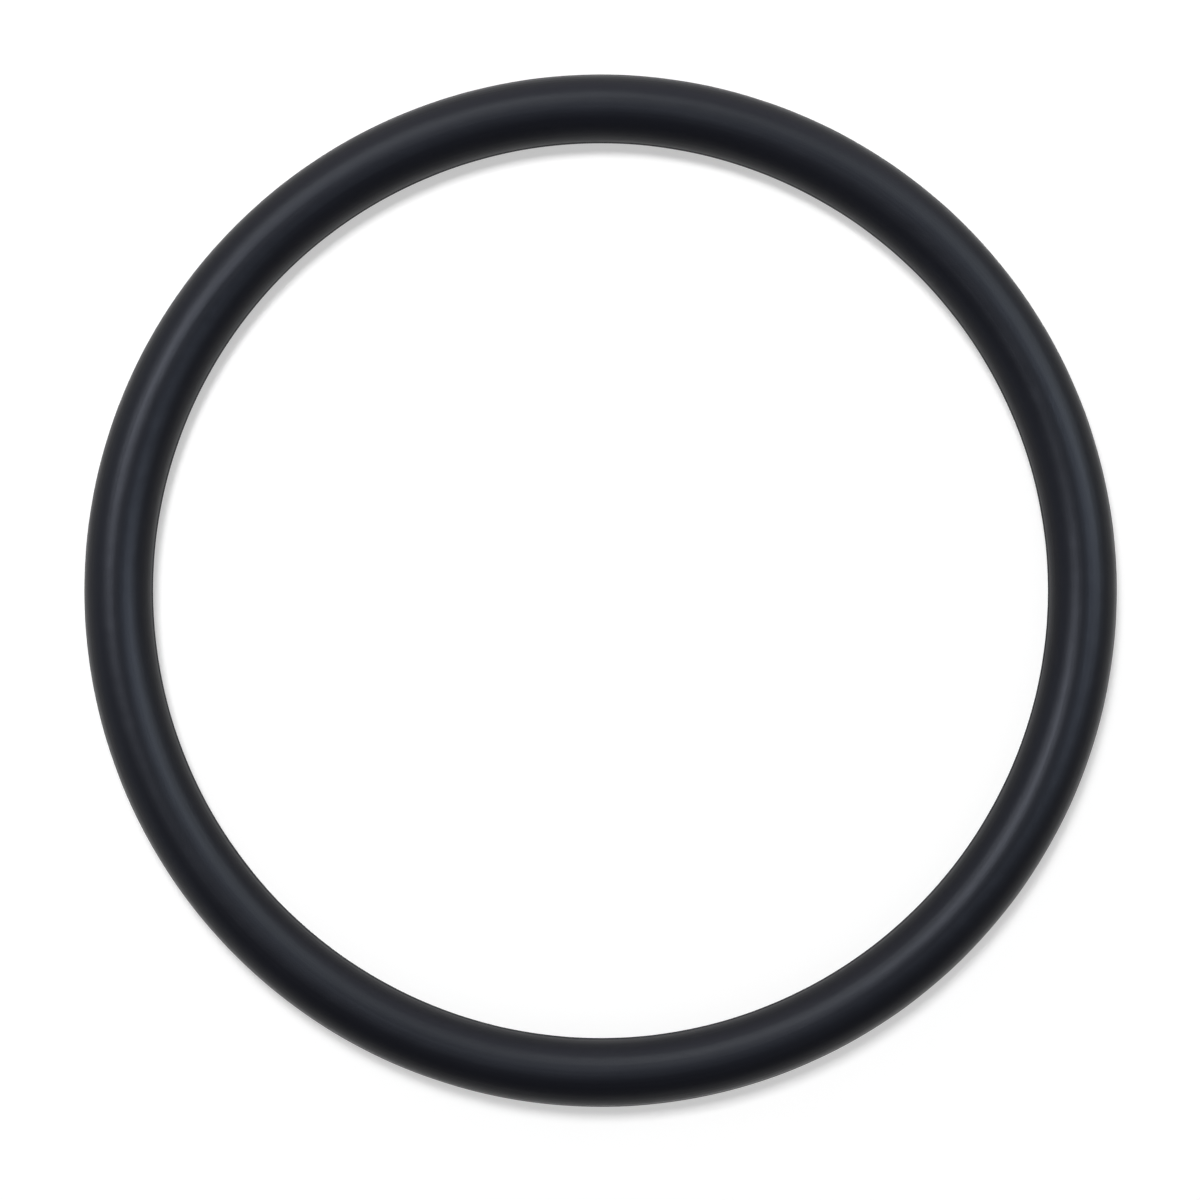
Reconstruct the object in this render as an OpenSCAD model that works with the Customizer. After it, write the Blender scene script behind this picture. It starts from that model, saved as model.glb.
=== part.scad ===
// O-ring: one solid rubber ring of round section, moulded in two flat mould halves.
// It lies flat. Its axis is Z, and the plane where the mould halves meet is Z = 0.

/* [Ring] */
// Inside diameter, across the hole, measured on the round section
inside_d = 47.22; // [20:0.01:120]
// Diameter of the round section
section_d = 3.53; // [1.6:0.01:7]

/* [Parting line] */
// Height of the trimmed parting line above the round section
line_h = 0.05; // [0.03:0.01:0.1]
// Width of the parting line across its flat crest
line_w = 0.12; // [0.08:0.01:0.3]
// Angle by which each flank of the parting line leans out from its crest, worn low by tumbling
line_draft = 60; // [30:1:70]

/* [Hidden] */
$fn = 240;

// Radius of the circle that the section's centre runs along
centre_r = (inside_d + section_d) / 2;
// The parting line's crest and its root, from the section's centre
crest_x = section_d / 2 + line_h;
// The root lies as far inside the round as the crest stands out of it
root_x = section_d / 2 - line_h;
// Width of the parting line at its root, where the flanks have run in under the round
root_w = line_w + 2 * (crest_x - root_x) * tan(line_draft);

// Round cord that makes the ring's body
module cord() {
    turned() circle(d = section_d);
}

// Band through the middle of the cord, of which only the two tapered edges stand out of the round
module parting_web() {
    turned() polygon([
        [-crest_x, -line_w / 2], [-crest_x, line_w / 2],
        [-root_x, root_w / 2], [root_x, root_w / 2],
        [crest_x, line_w / 2], [crest_x, -line_w / 2],
        [root_x, -root_w / 2], [-root_x, -root_w / 2],
    ]);
}

// A profile drawn about the section's centre, turned once round the ring's axis
module turned() {
    rotate_extrude() translate([centre_r, 0]) children();
}

// The ring, with the parting line along its inner and its outer edge
module o_ring() {
    color("#1c1d21") union() {
        cord();
        parting_web();
    }
}

o_ring();
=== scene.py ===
"""A moulded black rubber O-ring, lying flat on a white table and seen from straight above."""
import math

import bmesh
import bpy
from mathutils import Matrix, Vector, noise


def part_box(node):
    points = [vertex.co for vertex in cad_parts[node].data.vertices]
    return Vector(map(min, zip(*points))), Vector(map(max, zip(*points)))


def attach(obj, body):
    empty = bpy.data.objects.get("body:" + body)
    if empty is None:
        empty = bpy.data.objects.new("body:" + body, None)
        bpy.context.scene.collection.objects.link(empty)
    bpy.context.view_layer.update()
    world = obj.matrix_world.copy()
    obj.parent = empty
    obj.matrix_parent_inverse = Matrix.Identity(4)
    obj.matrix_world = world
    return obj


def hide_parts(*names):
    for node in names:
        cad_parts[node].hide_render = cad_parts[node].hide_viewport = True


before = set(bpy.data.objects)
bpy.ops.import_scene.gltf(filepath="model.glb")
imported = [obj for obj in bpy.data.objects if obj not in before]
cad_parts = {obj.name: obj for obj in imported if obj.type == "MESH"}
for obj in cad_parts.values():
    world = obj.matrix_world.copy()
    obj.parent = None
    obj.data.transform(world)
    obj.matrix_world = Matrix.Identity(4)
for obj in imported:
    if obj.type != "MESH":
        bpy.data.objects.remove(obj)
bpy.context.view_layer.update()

# The O-ring
# One piece of nitrile rubber, black with carbon, pressed and cured in a steel mould of two flat halves.
# The halves meet on the ring's middle plane, and the flash that they leave there is trimmed to a low line.
MM = 0.001
line_h = 0.05 * MM
line_w = 0.12 * MM
line_draft = math.radians(60)
line_edge_r = 0.012 * MM
trim_uneven = 0.014 * MM
trim_length = 2.5 * MM
sides_apart = 7.0
ring_low, ring_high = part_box("o_ring")
section_r = (ring_high.z - ring_low.z) / 2
centre_r = (ring_high.x - ring_low.x) / 2 - line_h - section_r
section_steps = 64
ring_steps = 360

# a flank of the parting line runs from its crest at the draft angle, and meets the round this far up it
flank_off_centre = (section_r + line_h) * math.sin(line_draft) + line_w / 2 * math.cos(line_draft)
root_angle = math.pi / 2 - line_draft - math.acos(flank_off_centre / section_r)


def section_outline(bm):
    """Draws the round section as a wire in the XZ plane, with the parting line on its two sides."""
    bmesh.ops.create_circle(bm, segments=section_steps, radius=section_r)
    half_step = Matrix.Rotation(math.pi / section_steps, 3, "Z")
    upright = Matrix.Rotation(math.pi / 2, 3, "X")
    bmesh.ops.rotate(bm, verts=bm.verts[:], cent=(0, 0, 0), matrix=upright @ half_step)
    sides = [e for e in bm.edges if abs(e.verts[0].co.z + e.verts[1].co.z) < section_r * 0.001]
    crest = [g for g in bmesh.ops.subdivide_edges(bm, edges=sides, cuts=2)["geom_inner"]
             if isinstance(g, bmesh.types.BMVert)]
    root = [e.other_vert(v) for v in crest for e in v.link_edges if e.other_vert(v) not in crest]
    for v in root:
        v.co.x = math.copysign(section_r * math.cos(root_angle), v.co.x)
        v.co.z = math.copysign(section_r * math.sin(root_angle), v.co.z)
    for v in crest:
        v.co.x = math.copysign(section_r + line_h, v.co.x)
        v.co.z = math.copysign(line_w / 2, v.co.z)
    bmesh.ops.bevel(bm, geom=root + crest, offset=line_edge_r, segments=2, profile=0.5,
                    affect="VERTICES", material=-1)


def trim_line(bm):
    """Leaves the parting line a little uneven in height, as trimming and tumbling do.

    The inner and the outer line are cut at different places in the noise, so that they differ.
    """
    for v in bm.verts:
        out = Vector((v.co.x, v.co.y, 0)).normalized()
        from_centre = v.co - out * centre_r
        proud = from_centre.length - section_r
        if proud > line_h * 0.1:
            side = math.copysign(1, from_centre.dot(out))
            own_noise = noise.noise(v.co / trim_length + Vector((0, 0, sides_apart * side)))
            cut = trim_uneven * (0.5 + 0.5 * own_noise)
            v.co -= out * side * cut * proud / line_h


bm = bmesh.new()
section_outline(bm)
bmesh.ops.translate(bm, verts=bm.verts[:], vec=(centre_r, 0, 0))
bmesh.ops.spin(bm, geom=bm.verts[:] + bm.edges[:], cent=(0, 0, 0), axis=(0, 0, 1), angle=2 * math.pi,
               steps=ring_steps, use_merge=True)

# the merge leaves the faces in an order that changes from run to run, so they are put in one order
bm.verts.index_update()
bm.faces.sort(key=lambda face: sum(v.index ** 2 for v in face.verts))
trim_line(bm)
bmesh.ops.recalc_face_normals(bm, faces=bm.faces[:])
for face in bm.faces:
    face.smooth = True
ring_mesh = bpy.data.meshes.new("moulded_ring")
bm.to_mesh(ring_mesh)
bm.free()
ring = bpy.data.objects.new("moulded_ring", ring_mesh)
bpy.context.scene.collection.objects.link(ring)


def linear(hex_colour):
    """An sRGB hex colour, such as "#1a2b3c", as linear red, green, blue and alpha."""
    parts = [int(hex_colour[i:i + 2], 16) / 255 for i in (1, 3, 5)]
    return [p / 12.92 if p <= 0.04045 else ((p + 0.055) / 1.055) ** 2.4 for p in parts] + [1.0]


def add_node(tree, kind, sockets=None, **settings):
    """Adds a node with its settings. A socket takes a value, or the output that is linked to it."""
    node = tree.nodes.new(kind)
    for name, value in settings.items():
        setattr(node, name, value)
    for name, value in (sockets or {}).items():
        if isinstance(value, bpy.types.NodeSocket):
            tree.links.new(value, node.inputs[name])
        else:
            node.inputs[name].default_value = value
    return node


cloud_width = 5 * MM
mark_length, mark_spacing = 14 * MM, 0.16 * MM
grain_width = 0.08 * MM
swell_width = 1.6 * MM
swell_h, mark_h, grain_h = 0.024 * MM, 0.006 * MM, 0.005 * MM
black, black_lighter = "#080910", "#0c0d15"
# the trimmed line's grey is partly cut rubber and partly painted light, lighter so the line's shaded flanks
# don't read as a dark edge
cut_grey_and_painted_light = "#2c2d30"
skin_smoother, skin_duller, trimmed_dull = 0.40, 0.46, 0.60
skin_specular = 0.15


def moulded_nitrile_rubber():
    """Nitrile rubber, filled with carbon and cured against turned steel.

    The carbon makes it near black with a blue cast, and its fine dull skin gives broad, soft and weak
    highlights, so its specular level is well under that of smooth rubber.
    """
    material = bpy.data.materials.new("moulded_nitrile_rubber")
    material.use_nodes = True
    tree = material.node_tree
    tree.nodes.clear()
    place = add_node(tree, "ShaderNodeTexCoord").outputs["Object"]
    xyz = add_node(tree, "ShaderNodeSeparateXYZ", {"Vector": place}).outputs
    from_axis = add_node(tree, "ShaderNodeVectorMath", {
        0: add_node(tree, "ShaderNodeCombineXYZ", {"X": xyz["X"], "Y": xyz["Y"]}).outputs[0],
    }, operation="LENGTH").outputs["Value"]

    # carbon that is mixed in a little unevenly, in clouds some millimetres wide
    clouds = add_node(tree, "ShaderNodeTexNoise", {
        "Vector": place, "Scale": 1 / cloud_width, "Detail": 3.0, "Roughness": 0.55}).outputs["Fac"]
    body = add_node(tree, "ShaderNodeMix", {
        "Factor": clouds, 6: linear(black), 7: linear(black_lighter)}, data_type="RGBA").outputs[2]

    # the mould's turning marks run round the ring: long along it and close together across it
    along, across = 1 / mark_length, 1 / mark_spacing
    lay = add_node(tree, "ShaderNodeVectorMath", {
        0: add_node(tree, "ShaderNodeCombineXYZ", {"X": xyz["X"], "Y": xyz["Y"], "Z": from_axis}).outputs[0],
        1: (along, along, across)}, operation="MULTIPLY").outputs[0]
    height = add_node(tree, "ShaderNodeMath", {0: xyz["Z"], 1: across}, operation="MULTIPLY").outputs[0]
    marks = add_node(tree, "ShaderNodeTexNoise", {
        "Vector": lay, "W": height, "Scale": 1.0, "Detail": 1.0}, noise_dimensions="4D").outputs["Fac"]

    # the skin's real grain is finer than a pixel, so it is drawn as coarse as it needs to show
    grain = add_node(tree, "ShaderNodeTexNoise", {
        "Vector": place, "Scale": 1 / grain_width, "Detail": 3.0}).outputs["Fac"]

    # where the rubber shrank unevenly as it cooled, the skin swells a little
    swell = add_node(tree, "ShaderNodeTexNoise", {
        "Vector": place, "Scale": 1 / swell_width, "Detail": 1.0}).outputs["Fac"]

    # on the trimmed parting line the rubber was cut, so it is duller and greyer there; its grey is also
    # lighter than cut rubber alone, as painted light that fills the shade on the line's flanks
    off_plane = add_node(tree, "ShaderNodeMath", {0: xyz["Z"]}, operation="ABSOLUTE").outputs[0]
    trimmed = add_node(tree, "ShaderNodeMapRange", {
        "Value": off_plane, "From Min": line_w * 0.8, "From Max": line_w * 1.3, "To Min": 1.0, "To Max": 0.0,
    }, interpolation_type="SMOOTHSTEP").outputs["Result"]
    colour = add_node(tree, "ShaderNodeMix", {
        "Factor": trimmed, 6: body, 7: linear(cut_grey_and_painted_light)}, data_type="RGBA").outputs[2]

    satin = add_node(tree, "ShaderNodeMapRange", {
        "Value": marks, "From Min": 0.3, "From Max": 0.7,
        "To Min": skin_smoother, "To Max": skin_duller}).outputs["Result"]
    gloss = add_node(tree, "ShaderNodeMix", {
        "Factor": trimmed, 2: satin, 3: trimmed_dull}, data_type="FLOAT").outputs[0]

    normal = add_node(tree, "ShaderNodeBump", {
        "Height": swell, "Strength": 1.0, "Distance": swell_h}).outputs[0]
    normal = add_node(tree, "ShaderNodeBump", {
        "Height": marks, "Strength": 1.0, "Distance": mark_h, "Normal": normal}).outputs[0]
    normal = add_node(tree, "ShaderNodeBump", {
        "Height": grain, "Strength": 1.0, "Distance": grain_h, "Normal": normal}).outputs[0]
    shader = add_node(tree, "ShaderNodeBsdfPrincipled", {
        "Base Color": colour, "Roughness": gloss, "IOR": 1.5,
        "Specular IOR Level": skin_specular, "Normal": normal})
    add_node(tree, "ShaderNodeOutputMaterial", {"Surface": shader.outputs[0]})
    return material


ring.data.materials.append(moulded_nitrile_rubber())
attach(ring, "root")
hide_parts("o_ring")

# The table
# A plain pale table top of matt laminate, on which the ring lies, with its edge turned up all round.
# The camera, a reflection and glass see a little light added to it: it is white and keeps the shadow.
table_r = 1.6
edge_h = 0.3
lift_by_ring, grows_from = 0.46, 0.03
lift_full, grows_to = 0.85, 0.25
lift_at_edge, fades_from = 0.45, 0.6
laminate_grey = "#cbcbcb"
bm = bmesh.new()
bmesh.ops.create_circle(bm, cap_ends=True, segments=128, radius=table_r)
bmesh.ops.translate(bm, verts=bm.verts[:], vec=(0, 0, ring_low.z))
turned_up = [g for g in bmesh.ops.extrude_edge_only(bm, edges=bm.edges[:])["geom"]
             if isinstance(g, bmesh.types.BMVert)]
bmesh.ops.translate(bm, verts=turned_up, vec=(0, 0, edge_h))
table_mesh = bpy.data.meshes.new("table_top")
bm.to_mesh(table_mesh)
bm.free()
table = bpy.data.objects.new("table_top", table_mesh)
bpy.context.scene.collection.objects.link(table)


def matt_laminate():
    """Matt pale laminate, which shows no reflection and takes a soft shadow."""
    material = bpy.data.materials.new("matt_laminate")
    material.use_nodes = True
    tree = material.node_tree
    tree.nodes.clear()
    rays = add_node(tree, "ShaderNodeLightPath").outputs
    seen = add_node(tree, "ShaderNodeMath", {
        0: rays["Is Camera Ray"], 1: rays["Is Glossy Ray"]}, operation="MAXIMUM").outputs[0]
    seen = add_node(tree, "ShaderNodeMath", {
        0: seen, 1: rays["Is Transmission Ray"]}, operation="MAXIMUM").outputs[0]

    # the key lamp is near, so the added light grows from the ring outwards as the lamp's own falls off,
    # and it fades a little towards the far edge
    place = add_node(tree, "ShaderNodeTexCoord").outputs["Object"]
    away = add_node(tree, "ShaderNodeVectorMath", {0: place}, operation="LENGTH").outputs["Value"]
    grows = add_node(tree, "ShaderNodeMapRange", {
        "Value": away, "From Min": grows_from, "From Max": grows_to,
        "To Min": lift_by_ring, "To Max": lift_full,
    }).outputs["Result"]
    fades = add_node(tree, "ShaderNodeMapRange", {
        "Value": away, "From Min": fades_from, "From Max": table_r,
        "To Min": lift_full, "To Max": lift_at_edge,
    }).outputs["Result"]
    lift = add_node(tree, "ShaderNodeMath", {0: grows, 1: fades}, operation="MINIMUM").outputs[0]
    lift = add_node(tree, "ShaderNodeMath", {0: seen, 1: lift}, operation="MULTIPLY").outputs[0]
    paint = add_node(tree, "ShaderNodeBsdfDiffuse", {"Color": linear(laminate_grey)}).outputs[0]
    glow = add_node(tree, "ShaderNodeEmission", {"Color": linear("#ffffff"), "Strength": lift}).outputs[0]
    both = add_node(tree, "ShaderNodeAddShader", {0: paint, 1: glow}).outputs[0]
    add_node(tree, "ShaderNodeOutputMaterial", {"Surface": both})
    return material


table.data.materials.append(matt_laminate())

# The studio
# One small lamp above lights the table plainly and throws the narrow shadow.
# Soft boxes, and white panels on the left and far sides, are only mirrored in the rubber's skin.
room_light = 0.25
box_away = 0.60


def lamp(name, azimuth, off_vertical, distance, width, height, radiance, colour):
    """An area lamp aimed at the ring: azimuth turns from +X towards +Y, and its height runs up the sky."""
    data = bpy.data.lights.new(name, "AREA")
    data.shape, data.size, data.size_y = "RECTANGLE", width, height
    data.energy = radiance * math.pi * width * height
    data.color = linear(colour)[:3]
    turn, lean = math.radians(azimuth), math.radians(off_vertical)
    towards = Vector((math.sin(lean) * math.cos(turn), math.sin(lean) * math.sin(turn), math.cos(lean)))
    lamp_object = bpy.data.objects.new(name, data)
    lamp_object.location = towards * distance
    lamp_object.rotation_mode = "QUATERNION"
    lamp_object.rotation_quaternion = towards.to_track_quat("Z", "Y")
    bpy.context.scene.collection.objects.link(lamp_object)
    return lamp_object


key = lamp("key_lamp", 110, 18, 0.27, 0.06, 0.06, 53.0, "#ffffff")
key.visible_glossy = False
for mirrored in (
    lamp("left_box", 157, 32, box_away, 0.07, 0.23, 70.0, "#e6edff"),
    lamp("right_box", 3, 33, box_away, 0.09, 0.34, 19.0, "#d3e3ff"),
    lamp("far_box", 108, 43, box_away, 0.50, 0.14, 12.5, "#f3f9ff"),
    lamp("corner_box", 31, 49, box_away, 0.50, 0.40, 5.5, "#ecf7ff"),
    lamp("left_panel", 180, 76, box_away, 1.10, 0.30, 1.05, "#d7e4ff"),
    lamp("far_panel", 90, 76, box_away, 1.10, 0.30, 1.9, "#ecebff"),
):
    mirrored.visible_diffuse = False

world = bpy.data.worlds.new("studio")
world.use_nodes = True
world.node_tree.nodes.clear()
room = add_node(world.node_tree, "ShaderNodeBackground", {
    "Color": linear("#ffffff"), "Strength": room_light}).outputs[0]
add_node(world.node_tree, "ShaderNodeOutputWorld", {"Surface": room})
bpy.context.scene.world = world

# The camera
# It looks straight down on the ring, from as high above it as the outline in the picture asks.
# The ring sits a little high in the picture, so the camera stands half a millimetre off it, towards -Y.
camera_height = 7.35 * centre_r
picture_px = 1200
focal_px = 3541.0
ring_above_px = 9.35
ring_right_px = 0.55
camera_data = bpy.data.cameras.new("camera")
camera_data.sensor_width = 36.0
camera_data.lens = camera_data.sensor_width * focal_px / picture_px
camera_data.clip_start, camera_data.clip_end = 0.01, 10.0
camera = bpy.data.objects.new("camera", camera_data)
px = camera_height / focal_px
camera.location = (-ring_right_px * px, -ring_above_px * px, camera_height)
bpy.context.scene.collection.objects.link(camera)
bpy.context.scene.camera = camera
bpy.context.scene.view_settings.view_transform = "Standard"
